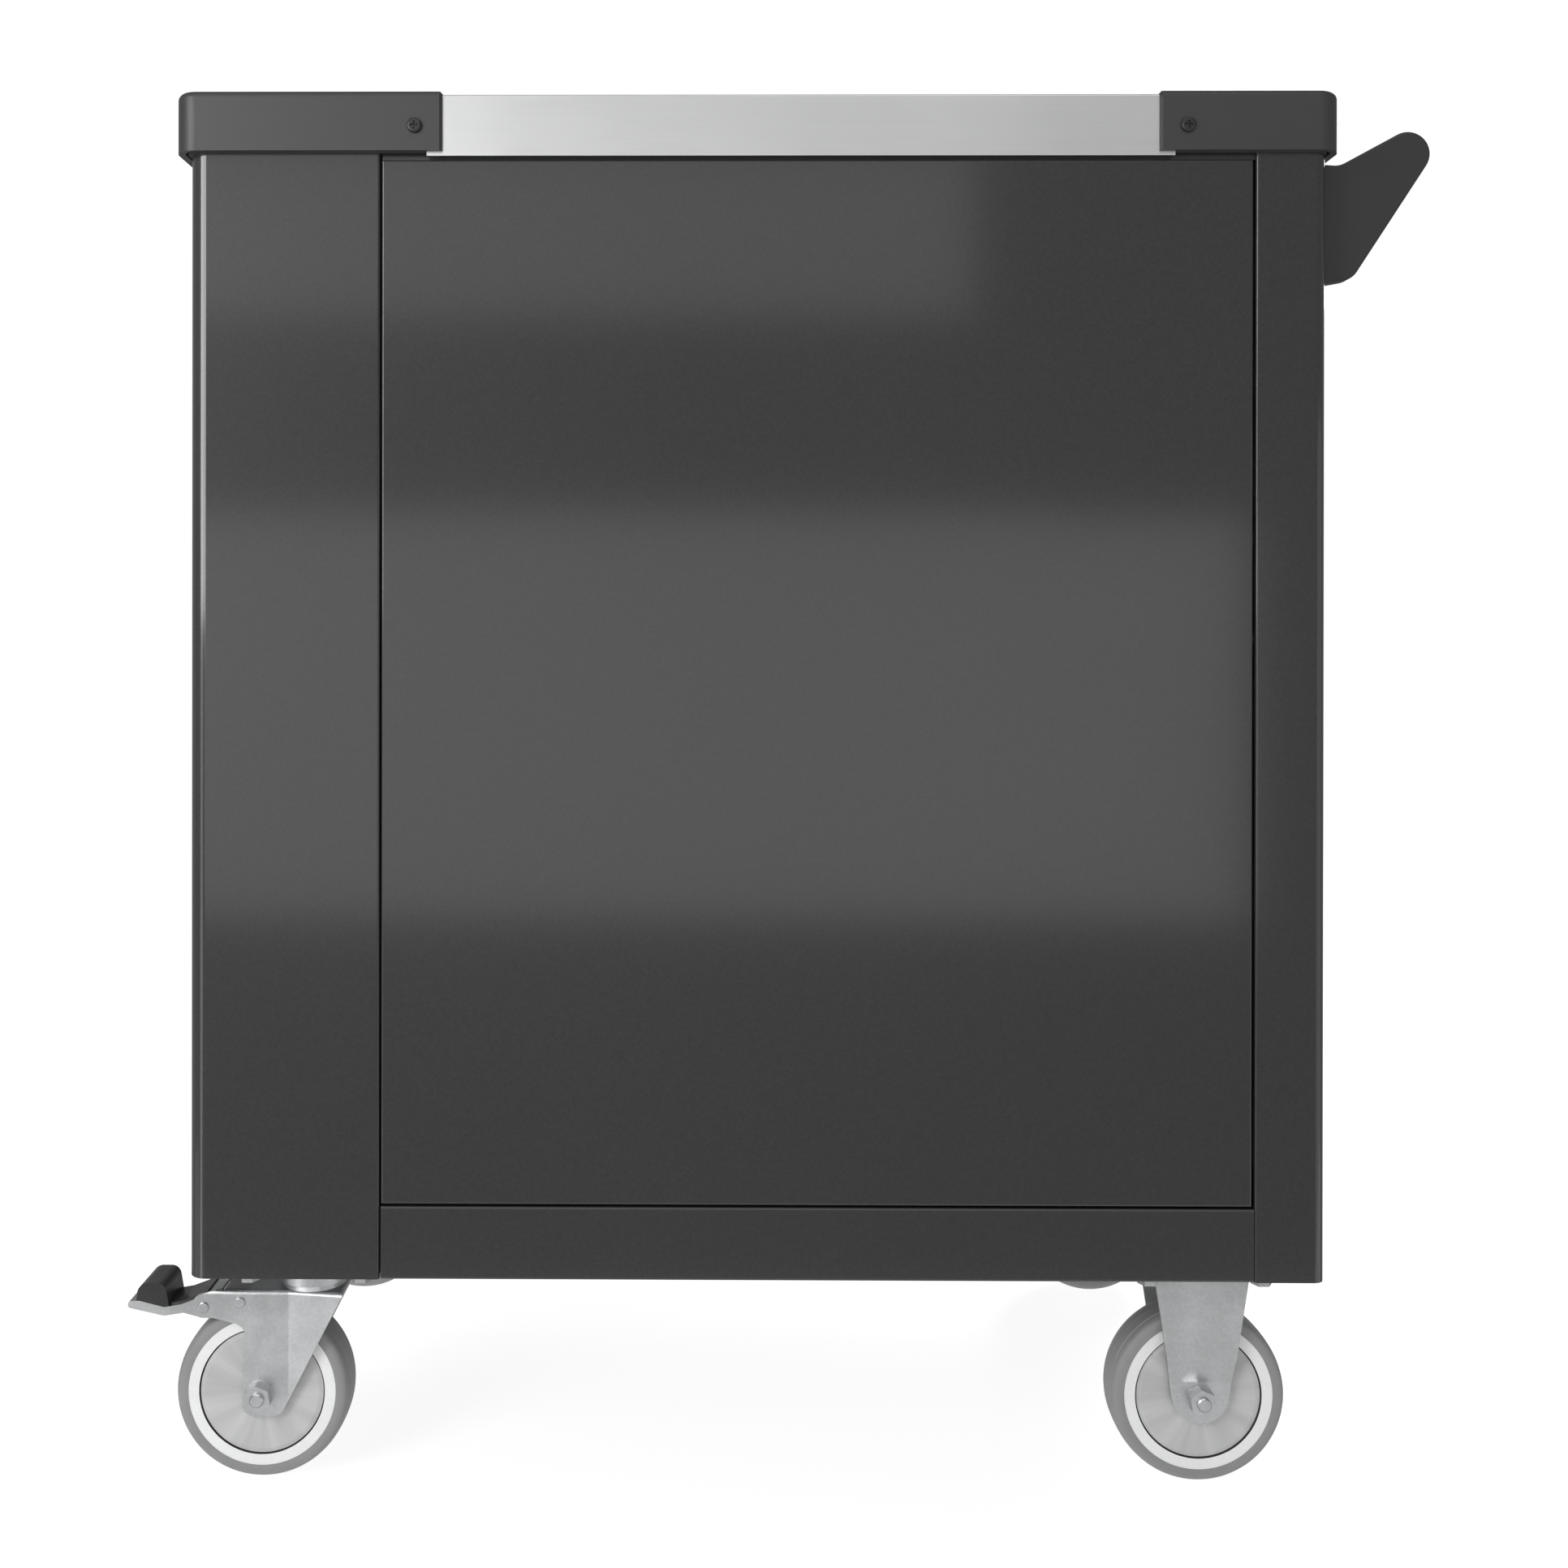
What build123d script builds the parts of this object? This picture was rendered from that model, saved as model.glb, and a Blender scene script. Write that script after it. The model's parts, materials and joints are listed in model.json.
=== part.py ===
from build123d import *
from math import radians, tan
import os

# Rolling tool chest: a drawer cabinet with a narrow side locker, a stainless worktop with plastic
# corner caps, a push handle, two fixed casters and two braked swivel casters.
# Everything is drawn about the middle of the cabinet and moved to its final place when saved.
# X runs along the width: locker and swivel casters at +X, push handle and fixed casters at -X.
# The drawers open towards -Y, and Z = 0 is the floor. All lengths are in millimetres.

# ---- Driving dimensions ----
WIDTH = 793.5  # cabinet and locker together
DEPTH = 450.0
CASTER_HEIGHT = 157.0  # floor to the underside of the cabinet
BODY_HEIGHT = 786.0
LOCKER_WIDTH = 134.5
SEAM_GAP = 1.1  # between locker and drawer cabinet
SHEET = 1.2  # gauge of the cabinet's steel
DRAWER_HEIGHTS = (76.0, 76.0, 76.0, 76.0, 76.0, 130.0, 177.5)  # fronts, from the top
DRAWER_GAP = 3.0
DRAWER_TRAVEL = 300.0
SLIDE_OVERLAP = 100.0  # length of the slides' members still engaged when a drawer is open
WHEEL_RADIUS = 62.5
WHEEL_WIDTH = 32.0
CASTER_X = 318.5  # caster plates, either side of the middle
CASTER_Y = 174.0
CASTER_TRAIL = 35.0  # wheel axle behind the swivel axis
HANDLE_AXIS_OUT = 64.0  # handle tube's axis beyond the cabinet's side
HANDLE_AXIS_UP = 4.6  # and above the cabinet's top edge
HANDLE_TIP_RADIUS = 15.5
PEDAL_TIP_X = 96.0  # brake lever's tip beyond the wheel's axle

# ---- Cabinet planes that follow from them ----
X_HANDLE = -WIDTH / 2
X_LOCKER = WIDTH / 2
X_SEAM = X_LOCKER - LOCKER_WIDTH
X_MAIN = X_SEAM - SEAM_GAP
Y_REAR = DEPTH / 2
Y_FRONT = -DEPTH / 2
Z_BOTTOM = CASTER_HEIGHT
Z_TOP = CASTER_HEIGHT + BODY_HEIGHT
HANDLE_AXIS_Z = Z_TOP + HANDLE_AXIS_UP

# ---- Cabinet details ----
REAR_POST = 49.4  # width of the rear corner post at the handle end
FRONT_POST = 40.0
INNER_POST = 19.9  # front post beside the locker
RAIL_HEIGHT = 51.0  # base rails, front and rear
TOP_RAIL = 24.0  # front rail above the drawers
POST_RETURN = 16.0
REVEAL = 2.0  # visible gap round panels and drawer fronts
PANEL_DEPTH = 12.0
TOP_LIP = 4.6  # rear edge of the top frame, folded down behind the worktop's skirt
TOP_LIP_INSET = 3.0
FIT = 0.2  # gap between sheet parts that lie against each other
CORNER_RADIUS = 8.0
LOCKER_CORNER_RADIUS = 13.0
BEND = 1.5
BASE_GAUGE = 1.5
BASE_BEND = 2.0
UPRIGHT_Y = (-115.0, 115.0)
UPRIGHT_DEPTH = 30.0

# ---- Worktop ----
WORKTOP_TOP = Z_TOP + 39.6
SKIN_GAUGE = 0.8
SKIRT_DROP = 3.0  # skirt hangs this far below the cabinet's top edge
SKIN_PROUD = 3.0
BOARD_TOP = WORKTOP_TOP - SKIN_GAUGE
CAP_TOP = Z_TOP + 42.0
CAP_PROUD_X = 8.5
CAP_PROUD_Y = 6.0
CAP_RADIUS = 15.0
CAP_FLANGE = 42.0  # width of the caps' top flange
CAP_INNER_RADIUS = 24.0
CAP_POCKET_RADIUS = 11.0
CAP_LENGTH_LOCKER = 187.0
CAP_LENGTH_HANDLE = 126.0
CAP_LENGTH_SIDE = 120.0
CAP_LAP = 11.0  # steel skirt running on behind each cap's end
CAP_GAP = 0.3  # between the caps' flanges and the steel top
CAP_SCREW_INSET = 19.0
CAP_SCREW_Z = Z_TOP + 17.0

# ---- Drawers ----
GRIP_WINDOW = 20.0  # open height above the grip lip
GRIP_POCKET = 12.0  # pocket depth below the lip's top
LIP = 4.4
FRONT_THICK = 20.0
SLIDE_SPACE = 14.0  # between post opening and tray side
SLIDE_LENGTH = DRAWER_TRAVEL + SLIDE_OVERLAP
SLIDE_HALF_HEIGHT = 17.5
MEMBER_HALF_HEIGHT = 12.0
OPENING_X0 = X_HANDLE + FRONT_POST
OPENING_X1 = X_MAIN - INNER_POST
TRAY_X0 = OPENING_X0 + SLIDE_SPACE
TRAY_X1 = OPENING_X1 - SLIDE_SPACE
TRAY_BACK = 195.0
FIRST_FRONT_TOP = Z_TOP - TOP_RAIL - 2.5
SLIDE_ABOVE_FRONT = 36.0  # slide centre above a front's lower edge

# ---- Locker ----
DOOR_X0 = X_SEAM + 13.0
DOOR_X1 = X_LOCKER - 15.5
DOOR_Z0 = Z_BOTTOM + 9.0
DOOR_Z1 = Z_TOP - 9.0
DOOR_DEPTH = 14.0
LOCKER_POST_X0 = DOOR_X0 - REVEAL
LOCKER_POST_X1 = DOOR_X1 + 1.5
HINGE_X = DOOR_X1 + 1.0
HINGE_Y = Y_FRONT - 3.0
HINGE_LENGTH = 40.0
HINGE_Z = (Z_BOTTOM + 73.0, (Z_BOTTOM + Z_TOP - HINGE_LENGTH) / 2, Z_TOP - 113.0)
HINGE_PIN = 1.5
KNUCKLE_RADIUS = 2.8
SHELF_Z = (352.0, 549.0, 746.0)
LATCH_X = DOOR_X0 + 14.0
LATCH_Z = 560.0
LATCH_SHAFT = 5.0

# ---- Lock ----
LOCK_X = OPENING_X1 - 13.0
LOCK_Z = Z_TOP - 13.5
LOCK_BARREL = 8.0
LOCK_BAR_X = (OPENING_X1 + 2.9, OPENING_X1 + 5.9)
LOCK_BAR_Z = (226.0, Z_TOP - 33.0)
RUNNING = 0.06  # radial clearance of running fits

# ---- Casters, relative to the wheel's centre ----
AXLE_Z = WHEEL_RADIUS
PLATE_TOP = CASTER_HEIGHT - WHEEL_RADIUS
PLATE_THICK = 3.0
PLATE_SIZE = (105.0, 80.0)
PLATE_HOLES = (80.0, 60.0)
LEG_GAUGE = 2.5
LEG_OUTER = 20.5
CROWN_TOP = 74.5
CREASE_X = -20.0  # upright bend in the swivel fork's legs
FLARE = tan(radians(8.0))
KINGPIN_RADIUS = 6.0
CORE_RADIUS = 53.0
RING_INNER = 45.2
GUARD_RADIUS = 44.3
AXLE_RADIUS = 5.0
SLEEVE_RADIUS = 6.0
BRAKE_PIVOT = (40.9, 62.2)
SECOND_RIVET = (14.8, 65.8)
RIVET_RADIUS = 2.5
PEDAL_HALF_WIDTH = 17.5
BOLT_RADIUS = 4.0

# ---- Push handle's brackets ----
FIN_ROOT_Z = (Z_TOP - 88.4, Z_TOP - 2.8)

# The whole chest's footprint is centred on the origin, between handle tip and brake pedals.
HANDLE_REACH = WIDTH / 2 + HANDLE_AXIS_OUT + HANDLE_TIP_RADIUS
PEDAL_REACH = CASTER_X + CASTER_TRAIL + PEDAL_TIP_X
CABINET_X = (HANDLE_REACH - PEDAL_REACH) / 2


# ---- Shared shapes ----
def block(x_span, y_span, z_span):
    size = [high - low for low, high in (x_span, y_span, z_span)]
    middle = [(high + low) / 2 for low, high in (x_span, y_span, z_span)]
    return Pos(*middle) * Box(*size)


def rod(radius, start, direction, length):
    base = (Align.CENTER, Align.CENTER, Align.MIN)
    return Plane(origin=start, z_dir=direction) * Cylinder(radius, length, align=base)


def hexagon(across_flats, start, direction, length):
    hexagon_face = RegularPolygon(across_flats / 2, 6, major_radius=False)
    return Plane(origin=start, z_dir=direction) * extrude(hexagon_face, length)


def folded(points, radii, gauge, side):
    """Cross-section of a folded sheet: its outer skin's points and bend radii."""
    skin = FilletPolyline(*points, radius=radii)
    return make_face(skin.offset_2d(gauge, side=side))


def outline(points, radii):
    return make_face(FilletPolyline(*points, radius=radii, close=True))


def along_z(section, z_low, z_high):
    return Pos(0, 0, z_low) * extrude(section, z_high - z_low)


def along_x(section, x_low, x_high):
    """Extrude a section drawn as (y, z) points."""
    return Pos(x_low, 0, 0) * extrude(Plane.YZ * section, x_high - x_low)


def along_y(section, y_low, y_high):
    """Extrude a section drawn as (x, z) points."""
    return Pos(0, y_high, 0) * extrude(Plane.XZ * section, y_high - y_low)


def mirrored_y(part):
    return mirror(part, about=Plane.XZ)


def edges_at(part, axis, **near):
    """Edges parallel to an axis whose middle lies at the given coordinates."""
    found = part.edges().filter_by(axis)
    for name, value in near.items():
        found = [edge for edge in found if abs(getattr(edge.center(), name.upper()) - value) < 0.01]
    return found


# ---- Cabinet ----
def side_panel_handle():
    rear_edge = X_HANDLE + REAR_POST
    skin = [
        (rear_edge, Y_REAR - PANEL_DEPTH),
        (rear_edge, Y_REAR),
        (X_HANDLE, Y_REAR),
        (X_HANDLE, Y_FRONT),
        (OPENING_X0, Y_FRONT),
        (OPENING_X0, Y_FRONT + POST_RETURN),
    ]
    section = folded(skin, [BEND, CORNER_RADIUS, CORNER_RADIUS, BEND], SHEET, Side.LEFT)
    panel = along_z(section, Z_BOTTOM, Z_TOP)
    rear_notch = (Y_REAR - PANEL_DEPTH - 1, Y_REAR - SHEET - 0.1)
    front_notch = (Y_FRONT + SHEET + 0.1, Y_FRONT + POST_RETURN + 1)
    for z_span in ((Z_BOTTOM - 1, Z_BOTTOM + BASE_GAUGE + FIT), (Z_TOP - TOP_LIP - FIT, Z_TOP + 1)):
        panel -= block((rear_edge - SHEET - 0.1, rear_edge + 0.1), rear_notch, z_span)
        panel -= block((OPENING_X0 - SHEET - 0.1, OPENING_X0 + 0.1), front_notch, z_span)
    for y, z in handle_bolt_places():
        panel -= rod(BOLT_RADIUS + 0.25, (X_HANDLE - 2, y, z), (1, 0, 0), 6)
    return panel


def side_panel_inner():
    rear_end = Y_REAR - PANEL_DEPTH - FIT
    skin = [
        (OPENING_X1, Y_FRONT + POST_RETURN),
        (OPENING_X1, Y_FRONT),
        (X_MAIN, Y_FRONT),
        (X_MAIN, rear_end),
        (OPENING_X1, rear_end),
    ]
    section = folded(skin, [BEND, BEND, BEND], SHEET, Side.LEFT)
    panel = along_z(section, Z_BOTTOM + BASE_GAUGE + FIT, Z_TOP - BASE_GAUGE - FIT)
    rail_zone = (Y_FRONT - 1, Y_FRONT + POST_RETURN + 1)
    wide = (OPENING_X1 - 1, X_MAIN + 1)
    panel -= block(wide, rail_zone, (Z_BOTTOM, Z_BOTTOM + RAIL_HEIGHT + 0.4))
    panel -= block(wide, rail_zone, (Z_TOP - TOP_RAIL - 0.4, Z_TOP))
    for z in lock_tab_heights():
        notch = (Y_FRONT + 3, Y_FRONT + POST_RETURN + 1)
        panel -= block((OPENING_X1 - 1, OPENING_X1 + 2), notch, (z - 13, z + 11))
    return panel


def rear_panel():
    x_span = (X_HANDLE + REAR_POST + REVEAL, X_MAIN)
    z_span = (Z_BOTTOM + RAIL_HEIGHT + 1.6, Z_TOP - 5.0)
    y_span = (Y_REAR - PANEL_DEPTH, Y_REAR)
    pan = block(x_span, y_span, z_span)
    pan = fillet(pan.faces().sort_by(Axis.Y)[-1].edges(), BEND)
    hollow_x = (x_span[0] + SHEET, x_span[1] - SHEET)
    hollow_z = (z_span[0] + SHEET, z_span[1] - SHEET)
    return pan - block(hollow_x, (y_span[0] - 1, Y_REAR - SHEET), hollow_z)


def handle_end_strip(x_inner, y_rear):
    """Plan of a plate's end where it fits inside the rounded side panel."""
    x_outer = X_HANDLE + SHEET + FIT
    y_front = Y_FRONT + SHEET + FIT
    corners = [(x_inner, y_front), (x_outer, y_front), (x_outer, y_rear), (x_inner, y_rear)]
    return outline(corners, [0, CORNER_RADIUS, CORNER_RADIUS, 0])


def base_pan():
    rail_top = Z_BOTTOM + RAIL_HEIGHT
    rear_skin = [
        (Y_REAR - PANEL_DEPTH, rail_top),
        (Y_REAR, rail_top),
        (Y_REAR, Z_BOTTOM),
        (0, Z_BOTTOM),
    ]
    radii = [BEND, BASE_BEND]
    rear = folded(rear_skin, radii, BASE_GAUGE, Side.RIGHT)
    front = folded([(-y, z) for y, z in rear_skin], radii, BASE_GAUGE, Side.LEFT)
    pan = along_x(rear, X_HANDLE + REAR_POST + 2 * FIT, X_MAIN)
    pan += along_x(front, OPENING_X0 + 2 * FIT, X_MAIN)
    end_strip = handle_end_strip(X_HANDLE + REAR_POST + 1, Y_REAR - SHEET - FIT)
    pan += along_z(end_strip, Z_BOTTOM, Z_BOTTOM + BASE_GAUGE)
    for x, y in plate_hole_places(-CASTER_X):
        pan -= rod(BOLT_RADIUS + 0.25, (x, y, Z_BOTTOM - 1), (0, 0, 1), 4)
    return pan


def top_frame():
    skin = [
        (Y_FRONT + PANEL_DEPTH, Z_TOP - TOP_RAIL),
        (Y_FRONT, Z_TOP - TOP_RAIL),
        (Y_FRONT, Z_TOP),
        (Y_REAR - TOP_LIP_INSET, Z_TOP),
        (Y_REAR - TOP_LIP_INSET, Z_TOP - TOP_LIP),
    ]
    section = folded(skin, [BEND, BEND, BEND], SHEET, Side.RIGHT)
    frame = along_x(section, OPENING_X0 + 2 * FIT, X_MAIN)
    end_strip = handle_end_strip(OPENING_X0 + 1, Y_REAR - TOP_LIP_INSET)
    frame += along_z(end_strip, Z_TOP - SHEET, Z_TOP)
    return frame - rod(LOCK_BARREL, (LOCK_X, Y_FRONT - 1, LOCK_Z), (0, 1, 0), 4)


def slide_uprights():
    z_span = (Z_BOTTOM + BASE_GAUGE + FIT, Z_TOP - SHEET - FIT)
    parts = []
    for x_span in ((X_HANDLE + SHEET + FIT, OPENING_X0), (OPENING_X1, X_MAIN - SHEET - FIT)):
        for y in UPRIGHT_Y:
            y_span = (y - UPRIGHT_DEPTH / 2, y + UPRIGHT_DEPTH / 2)
            tube = block(x_span, y_span, z_span)
            hollow = [(low + BASE_GAUGE, high - BASE_GAUGE) for low, high in (x_span, y_span)]
            parts.append(tube - block(hollow[0], hollow[1], (z_span[0] - 1, z_span[1] + 1)))
    return parts


# ---- Drawers ----
def front_spans():
    """Lower and upper edge of each drawer front, from the top down."""
    spans = []
    top = FIRST_FRONT_TOP
    for height in DRAWER_HEIGHTS:
        spans.append((top - height, top))
        top -= height + DRAWER_GAP
    return spans


def lock_tab_heights():
    return [low + SLIDE_ABOVE_FRONT for low, high in front_spans()]


def drawer(low, high):
    lip_top = high - GRIP_WINDOW
    pocket = lip_top - GRIP_POCKET
    back_wall = Y_FRONT + FRONT_THICK - SHEET - FIT
    skin = [
        (Y_FRONT + FRONT_THICK, low),
        (Y_FRONT, low),
        (Y_FRONT, lip_top),
        (Y_FRONT + LIP, lip_top),
        (Y_FRONT + LIP, pocket),
        (back_wall, pocket),
        (back_wall, high),
    ]
    section = folded(skin, [BEND] * 5, SHEET, Side.RIGHT)
    x_low = OPENING_X0 + REVEAL
    x_high = OPENING_X1 - REVEAL
    front = along_x(section, x_low, x_high)
    for end in ((x_low, x_low + SHEET), (x_high - SHEET, x_high)):
        front += block(end, (Y_FRONT, Y_FRONT + FRONT_THICK), (low, high))
    tray_y = (Y_FRONT + FRONT_THICK - FIT, TRAY_BACK)
    tray_z = (low + 6, high - 10)
    tray = block((TRAY_X0, TRAY_X1), tray_y, tray_z)
    hollow_y = (tray_y[0] + SHEET, tray_y[1] - SHEET)
    tray -= block((TRAY_X0 + SHEET, TRAY_X1 - SHEET), hollow_y, (tray_z[0] + SHEET, tray_z[1] + 1))
    return front + tray


def slide_pair(side_x, centre_z, toward):
    """Moving members of a drawer's two slides; toward points from the tray to the cabinet's side."""
    web_x = sorted((side_x, side_x + toward * SHEET))
    flange_x = sorted((side_x, side_x + toward * 11.0))
    y_span = (-SLIDE_LENGTH / 2, SLIDE_LENGTH / 2 - 5)
    low = centre_z - MEMBER_HALF_HEIGHT
    high = centre_z + MEMBER_HALF_HEIGHT
    member = block(web_x, y_span, (low, high))
    for z in (low, high - SHEET):
        member += block(flange_x, y_span, (z, z + SHEET))
    return member


def drawer_slides(low):
    z = low + SLIDE_ABOVE_FRONT
    return [slide_pair(TRAY_X0, z, -1), slide_pair(TRAY_X1, z, 1)]


def slide_rails():
    """Fixed members, screwed to the uprights."""
    parts = []
    y_span = (-SLIDE_LENGTH / 2, SLIDE_LENGTH / 2)
    for low, high in front_spans():
        z = low + SLIDE_ABOVE_FRONT
        for side_x, inward in ((OPENING_X0, 1), (OPENING_X1, -1)):
            web_x = sorted((side_x, side_x + inward * SHEET))
            lip_x = sorted((side_x, side_x + inward * 10.0))
            rail = block(web_x, y_span, (z - SLIDE_HALF_HEIGHT, z + SLIDE_HALF_HEIGHT))
            for lip_z in (z - SLIDE_HALF_HEIGHT, z + SLIDE_HALF_HEIGHT - SHEET):
                rail += block(lip_x, y_span, (lip_z, lip_z + SHEET))
            parts.append(rail)
    return parts


# ---- Central lock ----
def lock_cylinder():
    head = rod(10.0, (LOCK_X, Y_FRONT - 4.2, LOCK_Z), (0, 1, 0), 4.0)
    head = chamfer(head.edges().sort_by(Axis.Y)[0], 0.8)
    head -= block((LOCK_X - 0.6, LOCK_X + 0.6), (Y_FRONT - 5, Y_FRONT - 1.2), (LOCK_Z - 4, LOCK_Z + 4))
    barrel = rod(LOCK_BARREL - RUNNING, (LOCK_X, Y_FRONT - 0.5, LOCK_Z), (0, 1, 0), 22.5)
    cam = block((LOCK_X - 5, LOCK_X + 12), (Y_FRONT + 21, Y_FRONT + 24), (LOCK_Z - 4, LOCK_Z + 4))
    return head + barrel + cam


def lock_bar():
    y_span = (Y_FRONT + 6, Y_FRONT + 16)
    bar = block(LOCK_BAR_X, y_span, LOCK_BAR_Z)
    for z in lock_tab_heights():
        bar += block((OPENING_X1 - 1.2, LOCK_BAR_X[0] + 0.1), y_span, (z - 1, z + 7))
    return bar


# ---- Side locker ----
def locker_shell():
    skin = [
        (LOCKER_POST_X0, Y_FRONT + PANEL_DEPTH),
        (LOCKER_POST_X0, Y_FRONT),
        (X_SEAM, Y_FRONT),
        (X_SEAM, Y_REAR),
        (X_LOCKER, Y_REAR),
        (X_LOCKER, Y_FRONT),
        (LOCKER_POST_X1, Y_FRONT),
        (LOCKER_POST_X1, Y_FRONT + PANEL_DEPTH),
    ]
    radii = [BEND, 2.0, 2.0, LOCKER_CORNER_RADIUS, 4.0, BEND]
    return along_z(folded(skin, radii, SHEET, Side.RIGHT), Z_BOTTOM + SHEET, Z_TOP - SHEET)


def locker_ends():
    """Bottom and top plates, each with the narrow rail across the doorway."""
    corners = [(X_SEAM, Y_FRONT), (X_SEAM, Y_REAR), (X_LOCKER, Y_REAR), (X_LOCKER, Y_FRONT)]
    plate = outline(corners, [2.0, 2.0, LOCKER_CORNER_RADIUS, 4.0])
    rail_x = (LOCKER_POST_X0 + FIT, LOCKER_POST_X1 - FIT)
    rail_y = (Y_FRONT, Y_FRONT + SHEET)
    bottom = along_z(plate, Z_BOTTOM, Z_BOTTOM + SHEET)
    bottom += block(rail_x, rail_y, (Z_BOTTOM, DOOR_Z0 - REVEAL))
    for x, y in plate_hole_places(CASTER_X):
        bottom -= rod(BOLT_RADIUS + 0.25, (x, y, Z_BOTTOM - 1), (0, 0, 1), 4)
    top = along_z(plate, Z_TOP - SHEET, Z_TOP)
    top += block(rail_x, rail_y, (DOOR_Z1 + REVEAL, Z_TOP))
    return [bottom, top]


def locker_shelves():
    shelves = []
    for z in SHELF_Z:
        skin = [(Y_REAR - LOCKER_CORNER_RADIUS, z), (-190.0, z), (-190.0, z + 16)]
        section = folded(skin, [BEND], SHEET, Side.RIGHT)
        shelves.append(along_x(section, X_SEAM + SHEET + FIT, X_LOCKER - SHEET - FIT))
    return shelves


def knuckle(z, length, bore):
    centre = (HINGE_X, HINGE_Y, z)
    return rod(KNUCKLE_RADIUS, centre, (0, 0, 1), length) - rod(bore, centre, (0, 0, 1), length)


def locker_hinges():
    """Fixed leaves with their pins, on the locker's outer front post."""
    parts = []
    leaf_y = (Y_FRONT - 1.0, Y_FRONT)
    for z in HINGE_Z:
        leaf = block((HINGE_X + 3.5, X_LOCKER - 4), leaf_y, (z, z + HINGE_LENGTH))
        for start in (z, z + HINGE_LENGTH - 12):
            tab = block((HINGE_X, HINGE_X + 4), (HINGE_Y, Y_FRONT - FIT), (start, start + 12))
            tab -= rod(HINGE_PIN, (HINGE_X, HINGE_Y, start - 1), (0, 0, 1), 14)
            leaf += knuckle(start, 12, HINGE_PIN) + tab
        pin = rod(HINGE_PIN, (HINGE_X, HINGE_Y, z), (0, 0, 1), HINGE_LENGTH)
        parts.append(leaf + pin)
    return parts


def locker_door():
    door = block((DOOR_X0, DOOR_X1), (Y_FRONT, Y_FRONT + DOOR_DEPTH), (DOOR_Z0, DOOR_Z1))
    door = fillet(door.faces().sort_by(Axis.Y)[0].edges(), BEND)
    hollow_x = (DOOR_X0 + SHEET, DOOR_X1 - SHEET)
    hollow_z = (DOOR_Z0 + SHEET, DOOR_Z1 - SHEET)
    door -= block(hollow_x, (Y_FRONT + SHEET, Y_FRONT + DOOR_DEPTH + 1), hollow_z)
    for z in HINGE_Z:
        door += block((DOOR_X1 - 13, HINGE_X - 3.5), (Y_FRONT - 1.0, Y_FRONT), (z, z + HINGE_LENGTH))
        start = z + 12.3
        length = HINGE_LENGTH - 24.6
        tab = block((HINGE_X - 4, HINGE_X), (HINGE_Y, Y_FRONT - FIT), (start, start + length))
        tab -= rod(HINGE_PIN + RUNNING, (HINGE_X, HINGE_Y, start - 1), (0, 0, 1), length + 2)
        door += knuckle(start, length, HINGE_PIN + RUNNING) + tab
    return door - rod(LATCH_SHAFT + RUNNING, (LATCH_X, Y_FRONT - 1, LATCH_Z), (0, 1, 0), 5)


def locker_latch():
    knob = rod(10.0, (LATCH_X, Y_FRONT - 2.6, LATCH_Z), (0, 1, 0), 2.3)
    knob += block((LATCH_X - 2, LATCH_X + 2), (Y_FRONT - 5.6, Y_FRONT - 2), (LATCH_Z - 9, LATCH_Z + 9))
    shaft = rod(LATCH_SHAFT, (LATCH_X, Y_FRONT - 1, LATCH_Z), (0, 1, 0), 18)
    cam = block((LATCH_X - 5, LATCH_X + 5), (Y_FRONT + 14.6, Y_FRONT + 16.6), (LATCH_Z - 22, LATCH_Z + 6))
    return knob + shaft + cam


# ---- Worktop ----
def cap_spans():
    """X and Y extent of each corner cap."""
    x_out = WIDTH / 2 + CAP_PROUD_X
    y_out = DEPTH / 2 + CAP_PROUD_Y
    locker = (x_out - CAP_LENGTH_LOCKER, x_out)
    handle = (-x_out, -x_out + CAP_LENGTH_HANDLE)
    rear = (y_out - CAP_LENGTH_SIDE, y_out)
    front = (-y_out, -y_out + CAP_LENGTH_SIDE)
    return {
        "rear_locker": (locker, rear),
        "rear_handle": (handle, rear),
        "front_locker": (locker, front),
        "front_handle": (handle, front),
    }


def screw_places():
    """Head seat and inward direction of every cap screw."""
    places = []
    for x_span, y_span in cap_spans().values():
        x_sign = 1 if x_span[1] > 0 else -1
        y_sign = 1 if y_span[1] > 0 else -1
        x_inner = x_span[0] if x_sign > 0 else x_span[1]
        y_inner = y_span[0] if y_sign > 0 else y_span[1]
        x_outer = x_sign * (WIDTH / 2 + CAP_PROUD_X)
        y_outer = y_sign * (DEPTH / 2 + CAP_PROUD_Y)
        places.append(((x_inner + x_sign * CAP_SCREW_INSET, y_outer, CAP_SCREW_Z), (0, -y_sign, 0)))
        places.append(((x_outer, y_inner + y_sign * CAP_SCREW_INSET, CAP_SCREW_Z), (-x_sign, 0, 0)))
    return places


def cap_screws():
    screws = []
    for seat, inward in screw_places():
        outward = tuple(-value for value in inward)
        head = rod(5.2, seat, outward, 2.6)
        rim = head.edges().sort_by(Axis(seat, outward))[-1]
        head = fillet(rim, 1.6)
        place = Plane(origin=tuple(s + 1.2 * o for s, o in zip(seat, outward)), z_dir=outward)
        standing = (Align.CENTER, Align.CENTER, Align.MIN)
        recess = Box(5.4, 1.1, 1.6, align=standing) + Box(1.1, 5.4, 1.6, align=standing)
        screws.append(head - place * recess + rod(2.0, seat, inward, 14.0))
    return screws


def worktop_board():
    outline = RectangleRounded(WIDTH + 3.6, DEPTH + 3.6, CAP_POCKET_RADIUS)
    board = along_z(outline, Z_TOP, BOARD_TOP)
    for seat, inward in screw_places():
        board -= rod(2.1, seat, inward, 15.0)
    return board


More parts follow.
